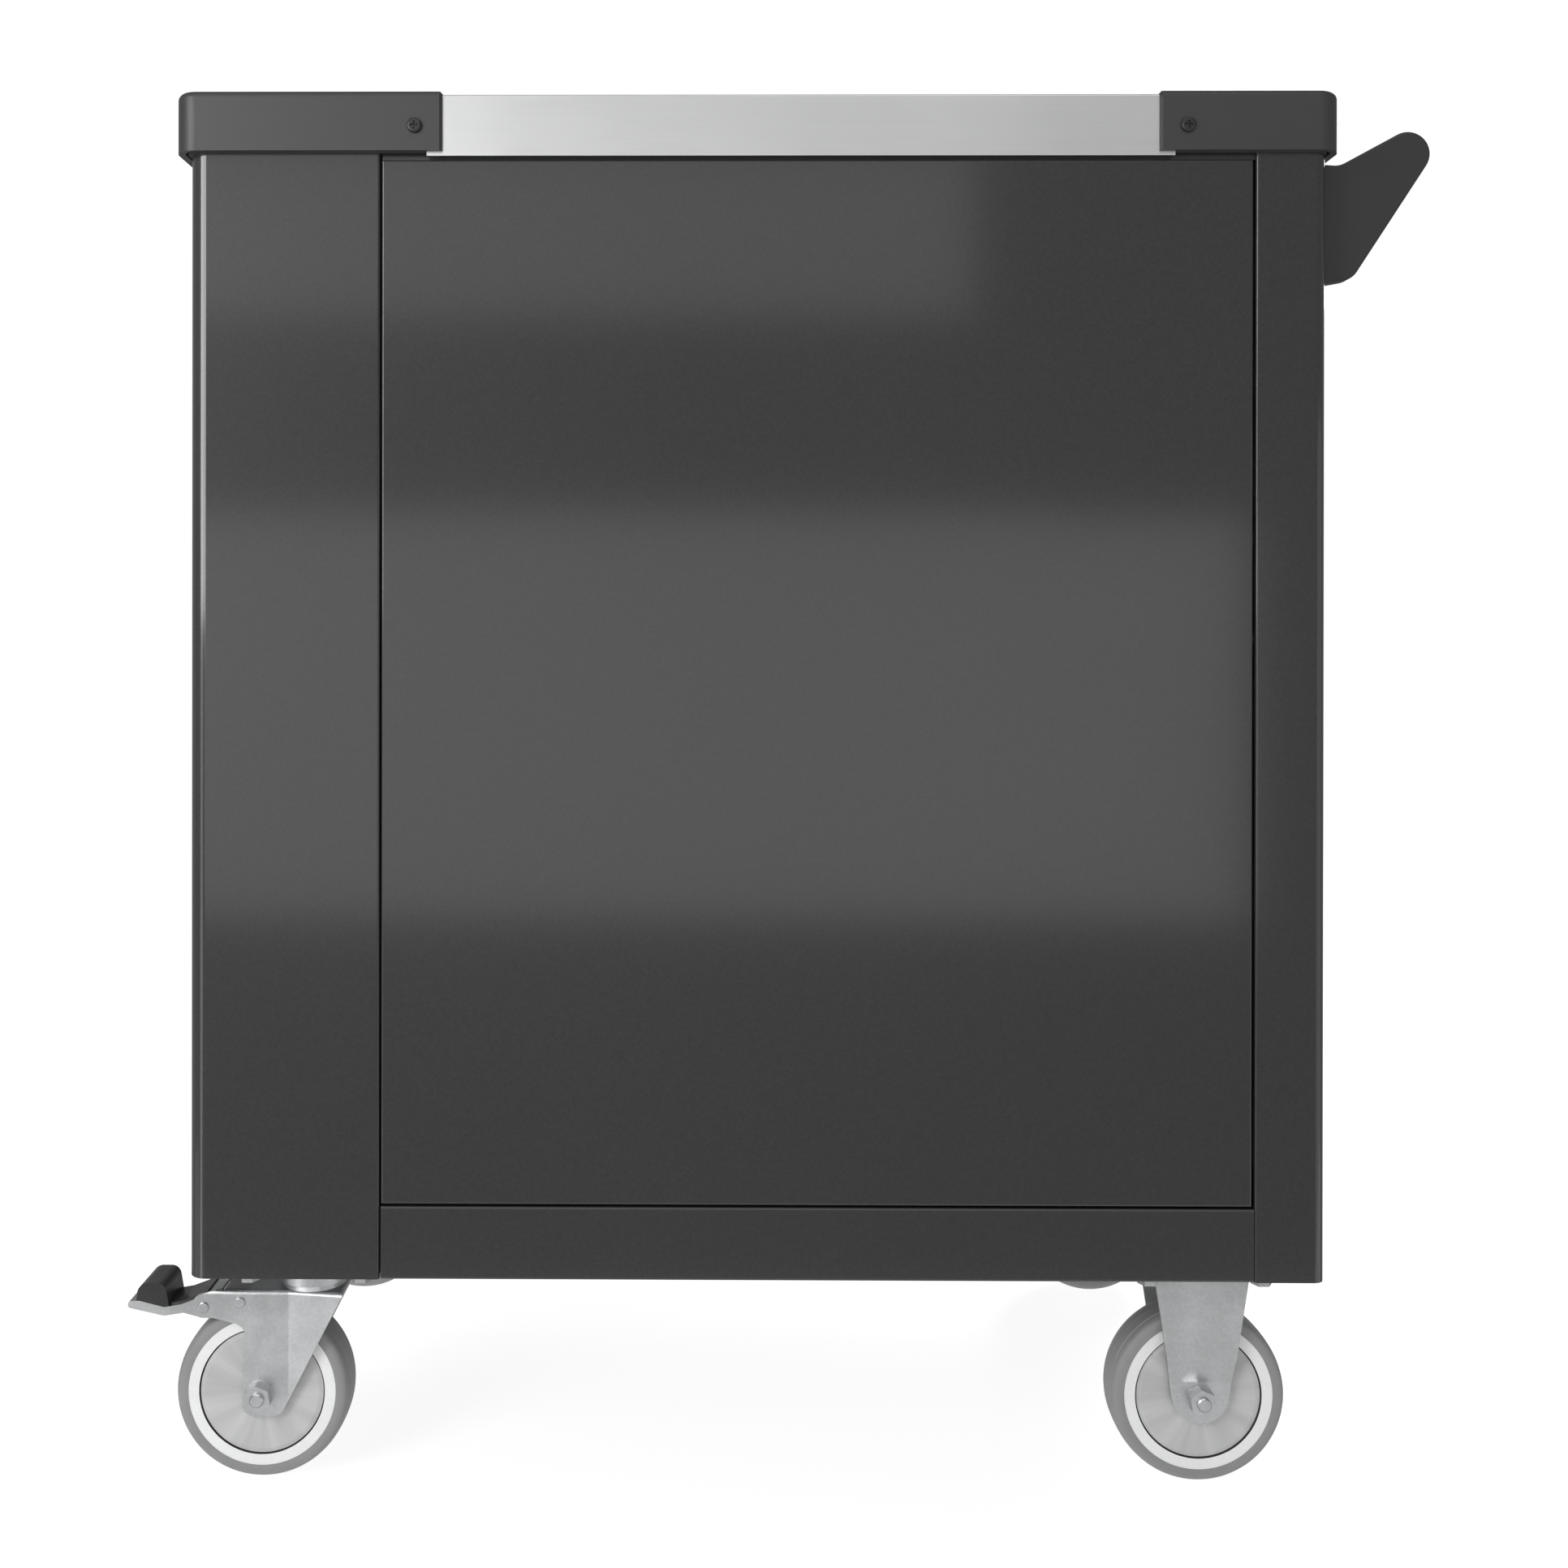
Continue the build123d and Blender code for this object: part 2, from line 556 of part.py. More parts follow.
def cap_ring(margin, z_span):
    """The worktop's edge band that the caps' flanges cover, widened by a margin."""
    x_out = WIDTH / 2 + CAP_PROUD_X
    y_out = DEPTH / 2 + CAP_PROUD_Y
    inner = CAP_FLANGE + margin
    opening = RectangleRounded(2 * (x_out - inner), 2 * (y_out - inner), CAP_INNER_RADIUS)
    ring = block((-x_out, x_out), (-y_out, y_out), z_span)
    return ring - along_z(opening, z_span[0] - 1, z_span[1] + 1)


def longer(span, extra):
    """A cap's extent along one side, lengthened at its inner end."""
    low, high = span
    return (low - extra, high) if high > 0 else (low, high + extra)


def worktop_skin():
    """Stainless sheet with folded skirts, cut away under the caps' flanges."""
    x_out = WIDTH / 2 + SKIN_PROUD
    y_out = DEPTH / 2 + SKIN_PROUD
    skin = block((-x_out, x_out), (-y_out, y_out), (Z_TOP - SKIRT_DROP, WORKTOP_TOP))
    skin = fillet(skin.faces().sort_by(Axis.Z)[-1].edges(), BEND)
    x_in = x_out - SKIN_GAUGE
    y_in = y_out - SKIN_GAUGE
    skin -= block((-x_in, x_in), (-y_in, y_in), (Z_TOP - SKIRT_DROP - 1, BOARD_TOP))
    top_ring = cap_ring(CAP_GAP, (BOARD_TOP, WORKTOP_TOP + 1))
    full_ring = cap_ring(CAP_GAP, (Z_TOP - SKIRT_DROP - 1, WORKTOP_TOP + 1))
    tall = (Z_TOP - SKIRT_DROP - 2, WORKTOP_TOP + 2)
    for x_span, y_span in cap_spans().values():
        skin -= top_ring & block(longer(x_span, CAP_GAP), longer(y_span, CAP_GAP), tall)
        skin -= full_ring & block(longer(x_span, -CAP_LAP), longer(y_span, -CAP_LAP), tall)
    return skin


def corner_caps():
    x_out = WIDTH / 2 + CAP_PROUD_X
    y_out = DEPTH / 2 + CAP_PROUD_Y
    rim = along_z(RectangleRounded(2 * x_out, 2 * y_out, CAP_RADIUS), Z_TOP, CAP_TOP)
    rim = fillet(rim.faces().sort_by(Axis.Z)[-1].edges(), 5.0)
    inner_x = WIDTH / 2 + SKIN_PROUD + FIT
    inner_y = DEPTH / 2 + SKIN_PROUD + FIT
    pocket = RectangleRounded(2 * inner_x, 2 * inner_y, CAP_POCKET_RADIUS)
    rim -= along_z(pocket, Z_TOP - 1, BOARD_TOP)
    opening = RectangleRounded(2 * (x_out - CAP_FLANGE), 2 * (y_out - CAP_FLANGE), CAP_INNER_RADIUS)
    rim -= along_z(opening, BOARD_TOP - 1, CAP_TOP + 1)
    for seat, inward in screw_places():
        rim -= rod(2.2, tuple(s - 1 * i for s, i in zip(seat, inward)), inward, 8)
    caps = {}
    for name, (x_span, y_span) in cap_spans().items():
        cap = rim & block(x_span, y_span, (Z_TOP, CAP_TOP))
        x_end = x_span[0] if x_span[1] > 0 else x_span[1]
        y_end = y_span[0] if y_span[1] > 0 else y_span[1]
        y_face = y_span[1] if y_span[1] > 0 else y_span[0]
        x_face = x_span[1] if x_span[1] > 0 else x_span[0]
        ends = edges_at(cap, Axis.Z, x=x_end, y=y_face) + edges_at(cap, Axis.Z, x=x_face, y=y_end)
        caps[name] = chamfer(ends, 1.8)
    return caps


# ---- Push handle ----
def handle_bolt_places():
    return [(y, z) for y in (-185.0, 185.0) for z in (Z_TOP - 75.0, Z_TOP - 25.0)]


def handle_bracket():
    """Rear bracket: an upswept fin with a foot screwed to the cabinet's side."""
    tip_x = X_HANDLE - HANDLE_AXIS_OUT
    tip_z = HANDLE_AXIS_Z
    lower = (tip_x - 13.07, tip_z - 8.33)
    upper = (tip_x + 7.7, tip_z + 13.45)
    far = (tip_x - 11.2, tip_z + 10.7)
    rim = Polyline(
        upper,
        (X_HANDLE - 16, FIN_ROOT_Z[1] - 1.0),
        (X_HANDLE, FIN_ROOT_Z[1]),
        (X_HANDLE, FIN_ROOT_Z[0]),
        (X_HANDLE - 25, FIN_ROOT_Z[0] + 4.5),
        lower,
    )
    face = make_face(rim + ThreePointArc(lower, far, upper))
    bends = [v for v in face.vertices() if X_HANDLE - 30 < v.X < X_HANDLE - 10]
    face = fillet(bends, 14.0)
    fin = along_y(face, 193.0, 205.0)
    outer_face = fin.faces().sort_by(Axis.Y)[-1]
    free_edges = outer_face.edges().filter_by(lambda edge: edge.center().X < X_HANDLE - 1)
    fin = fillet(free_edges, 2.0)
    foot = block((X_HANDLE - 4, X_HANDLE), (166.0, 203.0), FIN_ROOT_Z)
    bracket = fin + foot
    bracket -= rod(12.6, (tip_x, 190.0, tip_z), (0, 1, 0), 11.0)
    for y, z in handle_bolt_places():
        if y > 0:
            bracket -= rod(BOLT_RADIUS + 0.25, (X_HANDLE - 5, y, z), (1, 0, 0), 6)
    return bracket


def handle_tube():
    start = (X_HANDLE - HANDLE_AXIS_OUT, -200.5, HANDLE_AXIS_Z)
    return rod(12.5, start, (0, 1, 0), 401.0) - rod(11.0, start, (0, 1, 0), 401.0)


# ---- Fasteners of casters and handle ----
def plate_hole_places(plate_x):
    dx = PLATE_HOLES[0] / 2
    dy = PLATE_HOLES[1] / 2
    xs = [plate_x - dx, plate_x + dx]
    ys = [plate_y + side * dy for plate_y in (-CASTER_Y, CASTER_Y) for side in (-1, 1)]
    return [(x, y) for x in xs for y in ys]


def hex_bolt(seat, direction):
    """Head under the seat, shank along the direction."""
    back = tuple(-value for value in direction)
    return hexagon(13.0, seat, back, 5.3) + rod(BOLT_RADIUS, seat, direction, 14.0)


def hex_bolts():
    bolts = []
    for plate_x in (-CASTER_X, CASTER_X):
        for x, y in plate_hole_places(plate_x):
            bolts.append(hex_bolt((x, y, CASTER_HEIGHT - PLATE_THICK), (0, 0, 1)))
    for y, z in handle_bolt_places():
        bolts.append(hex_bolt((X_HANDLE - 4, y, z), (1, 0, 0)))
    return bolts


# ---- Casters, drawn about the wheel's centre with the axle along Y ----
def wheel_turned(points):
    """Turn a section of (radius, y) points about the axle."""
    return revolve(make_face(Polyline(*points, close=True)), Axis.Y)


def tyre():
    half = WHEEL_WIDTH / 2
    band = rod(WHEEL_RADIUS, (0, -half, 0), (0, 1, 0), WHEEL_WIDTH)
    rims = [edge for edge in band.edges() if edge.geom_type == GeomType.CIRCLE]
    band = fillet(rims, 3.0)
    return band - rod(CORE_RADIUS, (0, -half - 1, 0), (0, 1, 0), WHEEL_WIDTH + 2)


def wheel_core():
    bore = SLEEVE_RADIUS + RUNNING
    half = [(bore, 12.8), (12.0, 12.8), (14.0, 5.0), (43.5, 5.0), (RING_INNER, 15.5), (CORE_RADIUS, 15.5)]
    return wheel_turned(half + [(r, -y) for r, y in reversed(half)])


def thread_guards():
    section = [(6.5, 13.2), (GUARD_RADIUS, 13.2), (GUARD_RADIUS, 14.4), (41.0, 15.2)]
    section += [(11.0, 15.2), (11.0, 18.0), (6.5, 18.0)]
    guard = wheel_turned(section)
    return [guard, mirrored_y(guard)]


def axle_set():
    """Bolt, nut, washers and bearing sleeve, with the nut at +Y."""
    face = LEG_OUTER + 1.0
    bolt = rod(AXLE_RADIUS, (0, -face, 0), (0, 1, 0), face + 32.0)
    bolt = chamfer(bolt.edges().sort_by(Axis.Y)[-1], 0.8)
    head = Rot(0, 12, 0) * hexagon(17.0, (0, -face, 0), (0, -1, 0), 6.4)
    bore = rod(AXLE_RADIUS, (0, -40, 0), (0, 1, 0), 80)
    nut = Rot(0, 8, 0) * hexagon(17.0, (0, face, 0), (0, 1, 0), 8.0) - bore
    washers = [rod(10.0, (0, y, 0), (0, 1, 0), 1.0) - bore for y in (-face, LEG_OUTER)]
    gap_between_legs = 2 * (LEG_OUTER - LEG_GAUGE)
    sleeve = rod(SLEEVE_RADIUS, (0, -gap_between_legs / 2, 0), (0, 1, 0), gap_between_legs) - bore
    return [bolt + head, nut] + washers + [sleeve]


def cross_rivet(place):
    x, z = place
    shank = rod(RIVET_RADIUS, (x, -LEG_OUTER, z), (0, 1, 0), 2 * LEG_OUTER)
    for side in (-1, 1):
        head = rod(4.0, (x, side * LEG_OUTER, z), (0, side, 0), 1.6)
        rim = head.edges().sort_by(Axis.Y)[-1 if side > 0 else 0]
        shank += fillet(rim, 1.0)
    return shank


def caster_plate():
    plate = along_z(RectangleRounded(*PLATE_SIZE, 8.0), PLATE_TOP - PLATE_THICK, PLATE_TOP)
    for sx in (-1, 1):
        for sy in (-1, 1):
            hole = (sx * PLATE_HOLES[0] / 2, sy * PLATE_HOLES[1] / 2, PLATE_TOP - PLATE_THICK - 1)
            plate -= rod(BOLT_RADIUS + 0.25, hole, (0, 0, 1), PLATE_THICK + 2)
    return plate


def fixed_fork():
    """Plate with two pressed legs, joggled inwards below the plate."""
    leg = folded(
        [(24.5, PLATE_TOP - PLATE_THICK), (24.5, 30.0), (LEG_OUTER, 12.0), (LEG_OUTER, -22.0)],
        [6.0, 6.0],
        LEG_GAUGE,
        Side.RIGHT,
    )
    legs = along_x(leg, -40, 40)
    legs += mirrored_y(legs)
    right = [(34.6, PLATE_TOP), (24.5, 28.0), (20.5, 0.0)]
    left = [(-x, z) for x, z in reversed(right)]
    shape = make_face(Polyline(*left, *right) + ThreePointArc(right[-1], (0, -18.0), left[0]))
    legs &= along_y(shape, -30, 30)
    legs -= rod(AXLE_RADIUS + 0.2, (0, -30, 0), (0, 1, 0), 60)
    return legs + caster_plate()


def flared_plan(x_high, x_low, half_width):
    """Plan of constant width as far as the crease, then flaring towards x_low."""
    edge = [(x_high, half_width), (CREASE_X, half_width)]
    edge.append((x_low, half_width + FLARE * (CREASE_X - x_low)))
    other_edge = [(x, -y) for x, y in reversed(edge)]
    return make_face(Polyline(*edge, *other_edge, close=True))


def swivel_fork():
    """Legs with an upright crease, flaring out to the crown under the swivel bearing."""
    inner = LEG_OUTER - LEG_GAUGE
    fork = along_z(flared_plan(51.0, -66.0, LEG_OUTER), -18, CROWN_TOP)
    upright = fork.edges().filter_by(Axis.Z)
    creases = [edge for edge in upright if abs(edge.center().X - CREASE_X) < 0.1]
    fork = fillet(creases, 9.0)
    top_edges = fork.faces().sort_by(Axis.Z)[-1].edges()
    fork = fillet(top_edges.filter_by(lambda edge: abs(edge.center().Y) > 10), 3.5)
    fork -= along_z(flared_plan(60.0, -76.0, inner), -20, CROWN_TOP - LEG_GAUGE)
    side = outline(
        [
            (-14.5, -15.5),
            (13.5, -15.5),
            (10.0, 36.0),
            (12.0, 49.0),
            (34.0, 54.6),
            (48.4, 54.7),
            (48.4, 70.0),
            (31.0, CROWN_TOP),
            (-61.0, CROWN_TOP),
        ],
        [8.0, 8.0, 20.0, 9.0, 12.0, 7.0, 7.0, 12.0, 2.0],
    )
    fork &= along_y(side, -35, 35)
    crown_end = 26.0
    fork -= block((crown_end, 60), (-inner, inner), (CROWN_TOP - LEG_GAUGE - 1, CROWN_TOP + 1))
    standing = (Align.CENTER, Align.CENTER, Align.MIN)
    fork += Pos(-CASTER_TRAIL, 0, CROWN_TOP) * Cone(23.0, 21.5, 6.0, align=standing)
    fork -= rod(KINGPIN_RADIUS + RUNNING, (-CASTER_TRAIL, 0, 60), (0, 0, 1), 30)
    fork -= rod(AXLE_RADIUS + 0.2, (0, -30, 0), (0, 1, 0), 60)
    for x, z in (BRAKE_PIVOT, SECOND_RIVET):
        fork -= rod(RIVET_RADIUS, (x, -30, z), (0, 1, 0), 60)
    return fork


def swivel_plate():
    """Top plate with the upper bearing cup and the kingpin pressed into it."""
    centre = -CASTER_TRAIL
    underside = PLATE_TOP - PLATE_THICK
    cup = rod(25.0, (centre, 0, 78.5), (0, 0, 1), underside - 78.5)
    cup -= rod(23.6, (centre, 0, 77.5), (0, 0, 1), 3.4)
    pin = rod(KINGPIN_RADIUS, (centre, 0, 70.0), (0, 0, 1), 15.0)
    head = rod(10.0, (centre, 0, 67.6), (0, 0, 1), 4.1)
    head = chamfer(head.edges().sort_by(Axis.Z)[0], 1.0)
    return Pos(centre, 0, 0) * caster_plate() + cup + pin + head


LEVER_TOP = [(PEDAL_TIP_X, 65.2), (88.0, 65.5), (70.0, 61.0), (58.0, 63.0), (38.0, 70.5), (31.5, 70.5)]


def brake_lever():
    """Pressed pedal with side cheeks on the brake pivot."""
    under = [(31.5, 59.0), (36.0, 54.2), (45.5, 54.2), (56.0, 57.0), (70.0, 54.8), (88.0, 58.8)]
    under.append((PEDAL_TIP_X, 60.6))
    profile = make_face(Polyline(*LEVER_TOP, *under, close=True))
    body = along_y(profile, -PEDAL_HALF_WIDTH, PEDAL_HALF_WIDTH)
    tip = [edge for edge in body.edges().filter_by(Axis.Y) if edge.center().X > PEDAL_TIP_X - 0.1]
    body = fillet(tip, 2.0)
    roof = [(PEDAL_TIP_X - 3, 62.7), (88.0, 63.0), (70.0, 58.5), (58.0, 60.5), (38.0, 68.0), (20.0, 68.0)]
    hollow = make_face(Polyline(*roof, (20.0, 40.0), (PEDAL_TIP_X - 3, 40.0), close=True))
    body -= along_y(hollow, 2.5 - PEDAL_HALF_WIDTH, PEDAL_HALF_WIDTH - 2.5)
    x, z = BRAKE_PIVOT
    return body - rod(RIVET_RADIUS + RUNNING, (x, -30, z), (0, 1, 0), 60)


def brake_pad():
    """Rubber tread on the pedal: a hump at its end and a thin, narrower mat up to the pivot."""
    hump = outline(
        [(66.6, 61.57), (70.0, 61.0), (88.0, 65.5), (90.0, 65.43), (88.8, 78.3), (69.5, 78.3)],
        [0, 0, 0, 0, 8.0, 7.0],
    )
    mat = outline(
        [(40.0, 69.75), (58.0, 63.0), (67.0, 61.5), (67.0, 62.9), (58.0, 64.5), (40.0, 71.2)],
        [0, 0, 0, 0, 1.5, 0],
    )
    mat_half = PEDAL_HALF_WIDTH - 3.0
    pad = along_y(hump, -PEDAL_HALF_WIDTH, PEDAL_HALF_WIDTH)
    return pad + along_y(mat, -mat_half, mat_half)


# ---- Assembly ----
def at_caster(parts, x, side):
    """Move parts from the wheel's centre to a caster; side is +1 at the rear, -1 at the front."""
    solids = parts if isinstance(parts, list) else [parts]
    if side < 0:
        solids = [mirrored_y(solid) for solid in solids]
    return [Pos(x, side * CASTER_Y, AXLE_Z) * solid for solid in solids]


def caster_nodes():
    fixed_x = -CASTER_X
    swivel_x = CASTER_X + CASTER_TRAIL
    nodes = {"fixed_forks": [], "fixed_axles": [], "fixed_thread_guards": [], "swivel_plates": []}
    for name, side in (("rear", 1), ("front", -1)):
        nodes["fixed_forks"] += at_caster(fixed_fork(), fixed_x, side)
        nodes["fixed_axles"] += at_caster(axle_set(), fixed_x, side)
        nodes["fixed_thread_guards"] += at_caster(thread_guards(), fixed_x, side)
        nodes["swivel_plates"] += at_caster(swivel_plate(), swivel_x, side)
        rivets = [cross_rivet(BRAKE_PIVOT), cross_rivet(SECOND_RIVET)]
        nodes["swivel_fork_" + name] = at_caster(swivel_fork(), swivel_x, side)
        nodes["swivel_axle_" + name] = at_caster(axle_set() + rivets, swivel_x, side)
        nodes["swivel_guards_" + name] = at_caster(thread_guards(), swivel_x, side)
        nodes["brake_lever_" + name] = at_caster(brake_lever(), swivel_x, side)
        nodes["brake_pad_" + name] = at_caster(brake_pad(), swivel_x, side)
        for end, x in (("fixed", fixed_x), ("swivel", swivel_x)):
            nodes["tyre_" + end + "_" + name] = at_caster(tyre(), x, side)
            nodes["wheel_core_" + end + "_" + name] = at_caster(wheel_core(), x, side)
    return nodes


def all_nodes():
    bracket = handle_bracket()
    nodes = {
        "side_panel_handle": side_panel_handle(),
        "side_panel_inner": side_panel_inner(),
        "rear_panel": rear_panel(),
        "base_pan": base_pan(),
        "top_frame": top_frame(),
        "slide_uprights": slide_uprights(),
        "slide_rails": slide_rails(),
        "lock_cylinder": lock_cylinder(),
        "lock_bar": lock_bar(),
        "locker_shell": locker_shell(),
        "locker_shelves": locker_shelves() + locker_ends(),
        "locker_hinges": locker_hinges(),
        "locker_door": locker_door(),
        "locker_latch": locker_latch(),
        "worktop_board": worktop_board(),
        "worktop_skin": worktop_skin(),
        "cap_screws": cap_screws(),
        "handle_brackets": [bracket, mirrored_y(bracket)],
        "handle_tube": handle_tube(),
        "hex_bolts": hex_bolts(),
    }
    for name, cap in corner_caps().items():
        nodes["corner_cap_" + name] = cap
    for number, (low, high) in enumerate(front_spans(), start=1):
        nodes["drawer_" + str(number)] = drawer(low, high)
        nodes["drawer_" + str(number) + "_slides"] = drawer_slides(low)
    nodes.update(caster_nodes())
    return nodes


def save(name, parts):
    """Write one node as its separate solids, in the finished chest's frame."""
    shapes = parts if isinstance(parts, list) else [parts]
    solids = [solid for shape in shapes for solid in shape.solids()]
    placed = [Pos(CABINET_X, 0, 0) * solid for solid in solids]
    export_step(placed[0] if len(placed) == 1 else Compound(children=placed), "parts/" + name + ".step")


def main():
    os.makedirs("parts", exist_ok=True)
    for name, parts in all_nodes().items():
        save(name, parts)


main()
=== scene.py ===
"""Looks of the rolling tool chest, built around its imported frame. All lengths are in metres."""

import json
import math

import bmesh
import bpy
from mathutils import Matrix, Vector

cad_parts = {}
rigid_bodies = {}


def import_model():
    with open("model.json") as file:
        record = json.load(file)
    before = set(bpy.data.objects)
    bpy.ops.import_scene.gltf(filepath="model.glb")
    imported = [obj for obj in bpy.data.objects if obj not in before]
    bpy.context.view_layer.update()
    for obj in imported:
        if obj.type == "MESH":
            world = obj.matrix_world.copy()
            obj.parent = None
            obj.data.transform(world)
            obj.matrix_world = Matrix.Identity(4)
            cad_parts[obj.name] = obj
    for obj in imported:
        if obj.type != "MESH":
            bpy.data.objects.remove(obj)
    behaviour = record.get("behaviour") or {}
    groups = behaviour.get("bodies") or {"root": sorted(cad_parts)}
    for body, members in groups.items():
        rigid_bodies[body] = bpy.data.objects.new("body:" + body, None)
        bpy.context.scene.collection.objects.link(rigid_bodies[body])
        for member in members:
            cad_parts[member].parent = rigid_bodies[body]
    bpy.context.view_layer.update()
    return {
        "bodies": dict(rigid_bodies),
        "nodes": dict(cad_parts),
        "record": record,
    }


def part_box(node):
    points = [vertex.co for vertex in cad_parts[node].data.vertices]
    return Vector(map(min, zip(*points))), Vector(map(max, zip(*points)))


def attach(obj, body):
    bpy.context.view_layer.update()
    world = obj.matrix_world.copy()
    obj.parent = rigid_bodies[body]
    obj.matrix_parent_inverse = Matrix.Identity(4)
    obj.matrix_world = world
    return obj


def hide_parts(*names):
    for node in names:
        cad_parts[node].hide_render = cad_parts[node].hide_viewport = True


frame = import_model()
NODES = frame["nodes"]
DRAWERS = [name for name in sorted(frame["bodies"]) if name.startswith("drawer_")]
WHEELS = [name for name in sorted(frame["bodies"]) if name.startswith("wheel_")]
PANEL_LOW, PANEL_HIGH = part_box("rear_panel")

# ---- Camera: level, behind the chest, looking at its back ----
CAMERA_DISTANCE = 1.175  # from the rear panel's face
CAMERA_HEIGHT = 0.613
CAMERA_ASIDE = 0.0697  # beside the rear panel's middle, towards the locker
CAMERA_TURN = (89.92, -0.072, 180.421)  # degrees: all but level, and turned slightly to the locker
LENS = 38.74
SENSOR = 36.0
SHIFT = (0.0512, -0.099)


def add_camera():
    data = bpy.data.cameras.new("camera")
    data.lens = LENS
    data.sensor_width = SENSOR
    data.shift_x, data.shift_y = SHIFT
    camera = bpy.data.objects.new("camera", data)
    middle = (PANEL_LOW.x + PANEL_HIGH.x) / 2
    camera.location = (middle + CAMERA_ASIDE, PANEL_HIGH.y + CAMERA_DISTANCE, CAMERA_HEIGHT)
    camera.rotation_euler = [math.radians(angle) for angle in CAMERA_TURN]
    bpy.context.scene.collection.objects.link(camera)
    bpy.context.scene.camera = camera


add_camera()
bpy.context.scene.view_settings.view_transform = "Standard"


# ---- Shader helpers ----
class Shader:
    """A material with one Principled shader, and short names for the nodes that pattern it."""

    def __init__(self, name, colour, roughness, metallic=0.0, **uniform):
        self.material = bpy.data.materials.new(name)
        self.material.use_nodes = True
        self.tree = self.material.node_tree
        self.bsdf = self.tree.nodes["Principled BSDF"]
        self.colour = colour
        self.roughness = roughness
        self.bsdf.inputs["Metallic"].default_value = metallic
        for socket, value in uniform.items():
            self.bsdf.inputs[socket.replace("_", " ")].default_value = value
        self.place = self.node("ShaderNodeTexCoord").outputs["Object"]
        self.height = None

    def node(self, kind, **settings):
        made = self.tree.nodes.new(kind)
        for key, value in settings.items():
            setattr(made, key, value)
        return made

    def link(self, source, target):
        if isinstance(source, (int, float)):
            target.default_value = source
        else:
            self.tree.links.new(source, target)

    def scaled(self, stretch, offset=(0, 0, 0)):
        mapping = self.node("ShaderNodeMapping")
        mapping.inputs["Scale"].default_value = stretch
        mapping.inputs["Location"].default_value = offset
        self.link(self.place, mapping.inputs["Vector"])
        return mapping.outputs["Vector"]

    def noise(self, scale, detail=3.0, stretch=None, rough=0.5):
        made = self.node("ShaderNodeTexNoise")
        made.inputs["Scale"].default_value = scale
        made.inputs["Detail"].default_value = detail
        made.inputs["Roughness"].default_value = rough
        self.link(self.scaled(stretch) if stretch else self.place, made.inputs["Vector"])
        return made.outputs["Fac"]

    def cells(self, scale):
        made = self.node("ShaderNodeTexVoronoi")
        made.inputs["Scale"].default_value = scale
        self.link(self.place, made.inputs["Vector"])
        return made.outputs["Color"]

    def math(self, operation, first, second=0.0):
        made = self.node("ShaderNodeMath", operation=operation)
        self.link(first, made.inputs[0])
        self.link(second, made.inputs[1])
        return made.outputs[0]

    def span(self, value, low, high, to_low=0.0, to_high=1.0):
        made = self.node("ShaderNodeMapRange")
        limits = {"From Min": low, "From Max": high, "To Min": to_low, "To Max": to_high}
        for socket, number in limits.items():
            made.inputs[socket].default_value = number
        self.link(value, made.inputs["Value"])
        return made.outputs["Result"]

    def tint(self, *shades):
        """Multiply the base colour by each (pattern, dark, light) shade in turn."""
        factor = None
        for pattern, dark, light in shades:
            shade = self.span(pattern, 0.3, 0.7, dark, light)
            factor = shade if factor is None else self.math("MULTIPLY", factor, shade)
        scale = self.node("ShaderNodeVectorMath", operation="SCALE")
        scale.inputs[0].default_value = self.colour
        self.link(factor, scale.inputs["Scale"])
        self.link(scale.outputs["Vector"], self.bsdf.inputs["Base Color"])

    def vary_roughness(self, pattern, spread):
        low, high = self.roughness - spread, self.roughness + spread
        self.link(self.span(pattern, 0.3, 0.7, low, high), self.bsdf.inputs["Roughness"])

    def emboss(self, *layers):
        """Bump from (pattern, height in metres) layers added together."""
        total = None
        for pattern, height in layers:
            layer = self.math("MULTIPLY", pattern, height)
            total = layer if total is None else self.math("ADD", total, layer)
        bump = self.node("ShaderNodeBump")
        bump.inputs["Strength"].default_value = 1.0
        bump.inputs["Distance"].default_value = 1.0
        self.link(total, bump.inputs["Height"])
        self.link(bump.outputs["Normal"], self.bsdf.inputs["Normal"])

    def around(self, centre):
        """Angle (in turns) and radius about an axle along Y through the centre."""
        parts = self.node("ShaderNodeSeparateXYZ")
        self.link(self.scaled((1, 1, 1), tuple(-c for c in centre)), parts.inputs["Vector"])
        x, z = parts.outputs["X"], parts.outputs["Z"]
        angle = self.math("ARCTAN2", z, x)
        squares = self.math("ADD", self.math("MULTIPLY", x, x), self.math("MULTIPLY", z, z))
        return angle, self.math("SQRT", squares)


# ---- Materials ----
def grey(value, blue=0.0):
    return (value * (1 - blue), value, value * (1 + blue))


def powder_coat(name, value):
    """Semi-gloss powder coat: orange peel, faint mottling and handling smudges."""
    coat = {"Specular_IOR_Level": 0.12, "Coat_Weight": 1.0, "Coat_Roughness": 0.11}
    s = Shader(name, grey(value, 0.01), 0.4, **coat)
    peel = s.noise(430, 2)
    speckle = s.noise(1500, 2)
    s.tint((s.noise(2.2, 3), 0.96, 1.05), (peel, 0.9, 1.11), (speckle, 0.92, 1.09))
    s.vary_roughness(s.noise(7, 5, rough=0.6), 0.04)
    s.emboss((peel, 1.2e-5), (speckle, 2.5e-6))
    return s.material


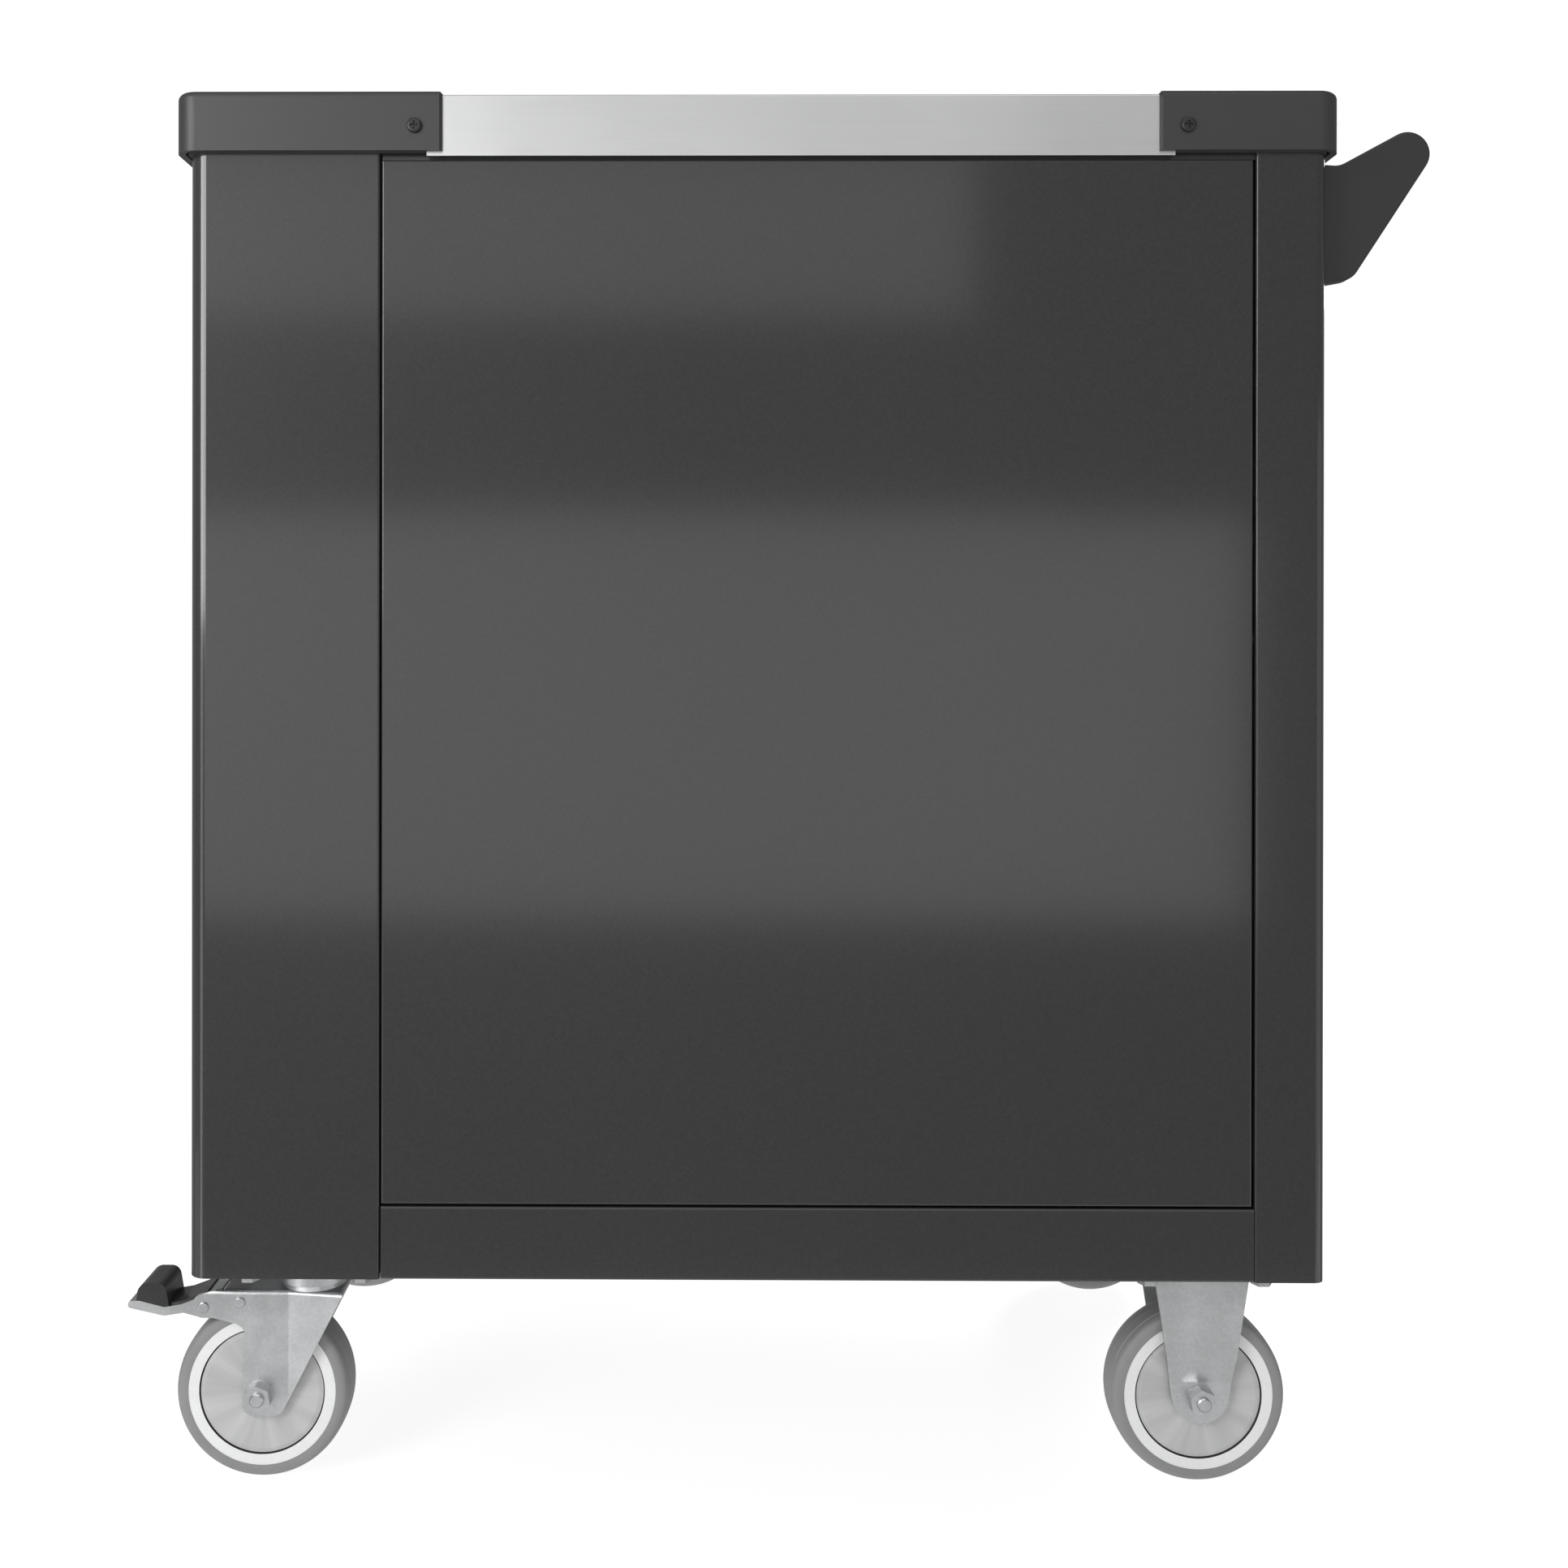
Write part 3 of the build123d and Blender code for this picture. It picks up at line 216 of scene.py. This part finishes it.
def brushed(name, value, stretch, roughness=0.3, bands=0.04):
    """Steel sheet with a brushed grain along the axis whose stretch is smallest."""
    s = Shader(name, grey(value, 0.004), roughness, 1.0)
    grain = s.noise(1.0, 2, stretch=stretch)
    band = s.noise(7, 2, stretch=(1, 0.2, 0.02))
    smudge = s.noise(14, 5, rough=0.65)
    s.tint((grain, 0.975, 1.025), (band, 1 - bands, 1 + bands), (smudge, 0.99, 1.01))
    s.vary_roughness(s.math("MULTIPLY", s.math("ADD", grain, smudge), 0.5), 0.05)
    s.emboss((grain, 1.2e-6))
    return s.material


def zinc(name, value):
    """Bright zinc plate over pressed steel: soft spangle, grain and dull patches."""
    s = Shader(name, grey(value, 0.012), 0.36, 1.0)
    grain = s.noise(1500, 3)
    patches = s.noise(45, 4, rough=0.6)
    spangle = s.cells(420)
    s.tint((grain, 0.90, 1.08), (patches, 0.94, 1.06), (spangle, 0.97, 1.03))
    s.vary_roughness(patches, 0.08)
    s.emboss((grain, 5e-6), (s.noise(160, 2), 1.2e-5))
    return s.material


def moulded(name, value, roughness=0.42, texture=6e-6, grain_scale=1500):
    """Moulded plastic with a fine spark-eroded texture."""
    s = Shader(name, grey(value, 0.008), roughness)
    texture_noise = s.noise(grain_scale, 2)
    s.tint((s.noise(5, 4), 0.96, 1.04), (texture_noise, 0.96, 1.05))
    s.vary_roughness(s.noise(18, 5, rough=0.6), 0.05)
    s.emboss((texture_noise, texture), (s.noise(30, 2), 3e-5))
    return s.material


def wheel_plastic(name, value, centre, sheen_streaks, painted_groove_shade=None):
    """Turned plastic disc: faint radial streaks of turning marks and painted sheen, rings about the
    axle, and painted shade darkening the groove.
    """
    s = Shader(name, grey(value, 0.003), 0.4)
    angle, radius = s.around(centre)
    polar = s.node("ShaderNodeCombineXYZ")
    s.link(angle, polar.inputs["X"])
    s.link(s.math("MULTIPLY", radius, 3.0), polar.inputs["Y"])
    # painted sheen: radial rays about the axle lighten and darken the colour, partly turning marks
    # and partly a painted reflection of the turned surface
    sheen_rays = s.node("ShaderNodeTexNoise")
    sheen_rays.inputs["Scale"].default_value = 2.6
    sheen_rays.inputs["Detail"].default_value = 2.0
    s.link(polar.outputs["Vector"], sheen_rays.inputs["Vector"])
    rings = s.math("SINE", s.math("MULTIPLY", radius, 5200.0))
    shades = [(sheen_rays.outputs["Fac"], 1 - sheen_streaks, 1 + sheen_streaks), (s.noise(900, 2), 0.975, 1.02)]
    if painted_groove_shade:
        # painted shade: between the groove radii the colour is darkened, standing in for the shadow
        # in the recess between disc and rim
        inside = s.math("COMPARE", radius, sum(painted_groove_shade) / 2)
        inside.node.inputs[2].default_value = (painted_groove_shade[1] - painted_groove_shade[0]) / 2
        shades.append((s.span(inside, 0.0, 1.0, 0.7, 0.3), 0.06, 1.0))
    s.tint(*shades)
    s.vary_roughness(sheen_rays.outputs["Fac"], 0.06)
    s.emboss((rings, 1.0e-6), (s.noise(1200, 2), 3e-6))
    return s.material


def soft_rubber(name, value, roughness=0.55):
    """Thermoplastic rubber: dull, a little dusty."""
    s = Shader(name, grey(value, 0.004), roughness, Sheen_Weight=0.08)
    s.tint((s.noise(35, 5, rough=0.6), 0.94, 1.05), (s.noise(1300, 2), 0.95, 1.04))
    s.vary_roughness(s.noise(60, 3), 0.06)
    s.emboss((s.noise(1100, 3), 8e-6), (s.noise(90, 3), 2e-5))
    return s.material


def fibreboard(name):
    """Black-faced fibreboard with faint fibres along its edges."""
    s = Shader(name, (0.034, 0.031, 0.028), 0.7)
    fibres = s.noise(260, 4, stretch=(0.3, 0.3, 2.5))
    s.tint((fibres, 0.82, 1.12), (s.noise(20, 3), 0.93, 1.05))
    s.vary_roughness(fibres, 0.08)
    s.emboss((fibres, 6e-5))
    return s.material


def foam(name):
    """Dark closed-cell foam."""
    s = Shader(name, grey(0.018, 0.02), 0.85)
    pores = s.cells(900)
    s.tint((pores, 0.75, 1.2), (s.noise(12, 3), 0.9, 1.1))
    s.vary_roughness(s.noise(25, 3), 0.06)
    s.emboss((pores, 4e-5))
    return s.material


PAINT = powder_coat("charcoal_powder_coat", 0.028)
TUBE_PAINT = powder_coat("black_powder_coat", 0.016)
STAINLESS = brushed("brushed_stainless", 0.57, (14, 2200, 2200), 0.4)
ZINC = zinc("zinc", 0.52)
CAP_PLASTIC = moulded("cap_plastic", 0.03, 0.47)
BRACKET_PLASTIC = moulded("bracket_plastic", 0.019, 0.5)
DARK_STEEL = moulded("black_oxide_steel", 0.012, 0.35, 2e-6)
CHROME = brushed("lock_chrome", 0.72, (700, 700, 700), 0.14, 0.01)
PEDAL_RUBBER = soft_rubber("pedal_rubber", 0.016, 0.34)
CORE_VALUE = 0.81
# strength of the painted sheen streaks on the wheel cores
CORE_SHEEN_STREAKS = 0.02
# painted shade: radii between which a wheel core's colour is darkened, standing in for the shadow in
# the groove
CORE_GROOVE_PAINTED_SHADE = (0.0437, 0.0453)  # radii of the dark groove between a wheel's disc and its rim
GUARD_VALUE = 0.48
# strength of the painted sheen streaks on the thread guards
GUARD_SHEEN_STREAKS = 0.13
TYRE_RUBBER = soft_rubber("grey_tyre_rubber", 0.25)
FOAM = foam("drawer_mat_foam")
FINISHES = {
    "painted_steel": PAINT,
    "painted_tube": TUBE_PAINT,
    "stainless": STAINLESS,
    "board": fibreboard("fibreboard"),
    "cap_plastic": CAP_PLASTIC,
    "handle_plastic": BRACKET_PLASTIC,
    "zinc_plate": ZINC,
    "dark_steel": DARK_STEEL,
    "lock_chrome": CHROME,
    "pedal_rubber": PEDAL_RUBBER,
}


def paint(piece, material):
    piece.data.materials.clear()
    piece.data.materials.append(material)


def centre_of(node):
    low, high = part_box(node)
    return tuple((low + high) / 2)


def paint_nodes():
    for part in frame["record"]["subparts"]:
        name, slot = part["node"], part["material_slot"]
        if slot in FINISHES:
            paint(NODES[name], FINISHES[slot])
    for wheel in WHEELS:
        place = wheel.replace("wheel_", "")
        core = "wheel_core_" + place
        centre = centre_of(core)
        plastic = wheel_plastic(core + "_plastic", CORE_VALUE, centre, CORE_SHEEN_STREAKS, CORE_GROOVE_PAINTED_SHADE)
        paint(NODES[core], plastic)
    for place in ("rear", "front"):
        guards = "swivel_guards_" + place
        plastic = wheel_plastic(guards + "_plastic", GUARD_VALUE, centre_of(guards), GUARD_SHEEN_STREAKS)
        paint(NODES[guards], plastic)
    fixed = centre_of("wheel_core_fixed_rear")
    plastic = wheel_plastic("fixed_guards_plastic", GUARD_VALUE, fixed, GUARD_SHEEN_STREAKS)
    paint(NODES["fixed_thread_guards"], plastic)


paint_nodes()


# ---- Mesh helpers ----
SHARP_ANGLE = math.radians(35.0)


def add_mesh(name, mesh_maker, material, smooth=True):
    bm = bmesh.new()
    mesh_maker(bm)
    bmesh.ops.recalc_face_normals(bm, faces=bm.faces)
    mesh = bpy.data.meshes.new(name)
    bm.to_mesh(mesh)
    bm.free()
    piece = bpy.data.objects.new(name, mesh)
    bpy.context.scene.collection.objects.link(piece)
    mesh.materials.append(material)
    if smooth:
        mesh.shade_smooth()
        mesh.set_sharp_from_angle(angle=SHARP_ANGLE)
    return piece


def ring_of(bm, section, centre, segments):
    """Turn a closed section of (radius, y) points about an axle along Y."""
    cx, cy, cz = centre
    rings = []
    for step in range(segments):
        turn = 2 * math.pi * step / segments
        c, s = math.cos(turn), math.sin(turn)
        rings.append([bm.verts.new((cx + r * c, cy + y, cz + r * s)) for r, y in section])
    count = len(section)
    for step in range(segments):
        here, there = rings[step], rings[(step + 1) % segments]
        for k in range(count):
            bm.faces.new((here[k], here[(k + 1) % count], there[(k + 1) % count], there[k]))


# ---- Tyres: crowned tread with a shallow groove near each shoulder ----
TYRE_SEGMENTS = 160
TYRE_SECTION = [  # (radius, y) from a side face to the middle of the tread
    (0.05305, 0.0157), (0.0558, 0.0160), (0.0586, 0.0157), (0.0605, 0.0146), (0.0616, 0.0125),
    (0.06215, 0.0096), (0.0616, 0.0090), (0.0616, 0.0084), (0.0623, 0.0078), (0.0625, 0.0030),
    (0.0625, 0.0004), (0.0622, 0.0),
]


def add_tyres():
    mirrored = [(radius, -y) for radius, y in reversed(TYRE_SECTION[:-1])]
    for wheel in WHEELS:
        node = wheel.replace("wheel_", "tyre_")
        centre = centre_of(node)
        piece = add_mesh(
            "rubber_" + node,
            lambda bm: ring_of(bm, TYRE_SECTION + mirrored, centre, TYRE_SEGMENTS),
            TYRE_RUBBER,
        )
        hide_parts(node)
        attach(piece, wheel)


# ---- Foam mats on the drawers' floors ----
MAT_THICKNESS = 0.0025
MAT_EDGE = 0.001  # between a mat and the drawer's walls
MAT_SINK = 0.0009  # from the drawer's stated space down to its floor
CORNER_RADIUS = 0.008
CORNER_STEPS = 6


def mat_outline(low_x, low_y, high_x, high_y):
    radius = CORNER_RADIUS
    corners = [
        (high_x - radius, high_y - radius, 0),
        (low_x + radius, high_y - radius, 90),
        (low_x + radius, low_y + radius, 180),
        (high_x - radius, low_y + radius, 270),
    ]
    points = []
    for x, y, start in corners:
        for step in range(CORNER_STEPS + 1):
            turn = math.radians(start + 90 * step / CORNER_STEPS)
            points.append((x + radius * math.cos(turn), y + radius * math.sin(turn)))
    return points


def add_mats():
    spaces = {row["name"]: row["box_m"] for row in frame["record"]["physics"]["openings"]}
    for drawer in DRAWERS:
        low, high = spaces[drawer + "_inside"]
        floor_z = low[2] - MAT_SINK
        lows = (low[0] + MAT_EDGE, low[1] + MAT_EDGE)
        outline = mat_outline(*lows, high[0] - MAT_EDGE, high[1] - MAT_EDGE)

        def make(bm):
            lower = [bm.verts.new((x, y, floor_z)) for x, y in outline]
            upper = [bm.verts.new((x, y, floor_z + MAT_THICKNESS)) for x, y in outline]
            bm.faces.new(lower)
            bm.faces.new(upper)
            for k in range(len(outline)):
                after = (k + 1) % len(outline)
                bm.faces.new((lower[k], lower[after], upper[after], upper[k]))

        piece = add_mesh(drawer + "_mat", make, FOAM)
        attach(piece, drawer)


add_tyres()
add_mats()


# ---- Stage: a pale floor in front of a white surround ----
STAGE_SIZE = 24.0


def glowing(name, value, glow):
    s = Shader(name, (value, value, value), 0.9, Emission_Strength=glow)
    s.bsdf.inputs["Emission Color"].default_value = (1, 1, 1, 1)
    s.tint((s.noise(1.5, 2), 0.99, 1.01))
    return s.material


def add_floor():
    def make(bm):
        bmesh.ops.create_grid(bm, x_segments=2, y_segments=2, size=STAGE_SIZE)

    floor = add_mesh("floor", make, glowing("pale_floor", 0.3, 0.88), smooth=False)
    floor.visible_glossy = False


def add_surround():
    def make(bm):
        bmesh.ops.create_icosphere(bm, subdivisions=4, radius=STAGE_SIZE)

    surround = add_mesh("surround", make, glowing("white_surround", 0.0, 1.0))
    surround.visible_diffuse = False
    surround.visible_glossy = False
    surround.visible_transmission = False
    surround.visible_shadow = False


def add_world(strength):
    world = bpy.data.worlds.new("studio")
    world.use_nodes = True
    background = world.node_tree.nodes["Background"]
    background.inputs["Color"].default_value = (1, 1, 1, 1)
    background.inputs["Strength"].default_value = strength
    bpy.context.scene.world = world


def soft_box(name, place, target, size, radiance, gloss_only=False):
    """Rectangular area light; a gloss-only one is seen in reflections and nowhere else."""
    data = bpy.data.lights.new(name, "AREA")
    data.shape = "RECTANGLE"
    data.size, data.size_y = size
    data.energy = math.pi * size[0] * size[1] * radiance
    data.use_shadow = not gloss_only
    light = bpy.data.objects.new(name, data)
    light.location = place
    light.rotation_euler = (Vector(target) - Vector(place)).to_track_quat("-Z", "Y").to_euler()
    light.visible_camera = False
    light.visible_diffuse = not gloss_only
    bpy.context.scene.collection.objects.link(light)


WALL_Y = 3.0  # the reflected wall behind the camera


def wall_band(name, x_span, z_span, radiance):
    """Gloss-only light on the reflected wall, between two x and two z."""
    x, z = sum(x_span) / 2, sum(z_span) / 2
    size = (x_span[1] - x_span[0], z_span[1] - z_span[0])
    soft_box(name, (x, WALL_Y, z), (x, 0, z), size, radiance, gloss_only=True)


add_floor()
add_surround()
add_world(0.3)
soft_box("key", (1.45, 1.6, 1.2), (0.2, 0.2, 0.6), (0.8, 1.2), 7.6)
soft_box("front_fill", (-1.8, -2.8, 2.2), (0, 0, 0.5), (1.6, 1.6), 6.0)
wall_band("upper_wall", (-0.56, 1.9), (1.34, 1.75), 0.9)
wall_band("upper_corner", (0.85, 1.9), (1.34, 1.75), 0.45)
wall_band("top_wall", (-2.2, 2.0), (1.9, 2.6), 0.85)
wall_band("lower_wall", (-1.2, 1.9), (-0.07, 0.87), 1.15)
wall_band("upper_band", (-0.75, 1.9), (0.77, 0.88), 1.2)
wall_band("lower_band", (-0.75, 1.9), (-0.07, 0.17), 1.1)
wall_band("right_band", (-1.2, -0.6), (0.42, 0.52), 3.2)
soft_box("locker_edge", (2.1, 2.05, 0.6), (0.4, 0.2, 0.6), (0.6, 3.6), 2.2, gloss_only=True)
soft_box("handle_edge", (-2.6, 1.6, 0.1), (-0.4, 0.2, 0.5), (2.4, 2.0), 0.6, gloss_only=True)
soft_box("overhead", (0, 1.6, 3.2), (0, 0.2, 0.9), (3.0, 1.5), 1.5, gloss_only=True)
soft_box("near_floor", (0, 0.42, 0.002), (0, 0.42, 1.0), (2.4, 0.4), 0.45, gloss_only=True)
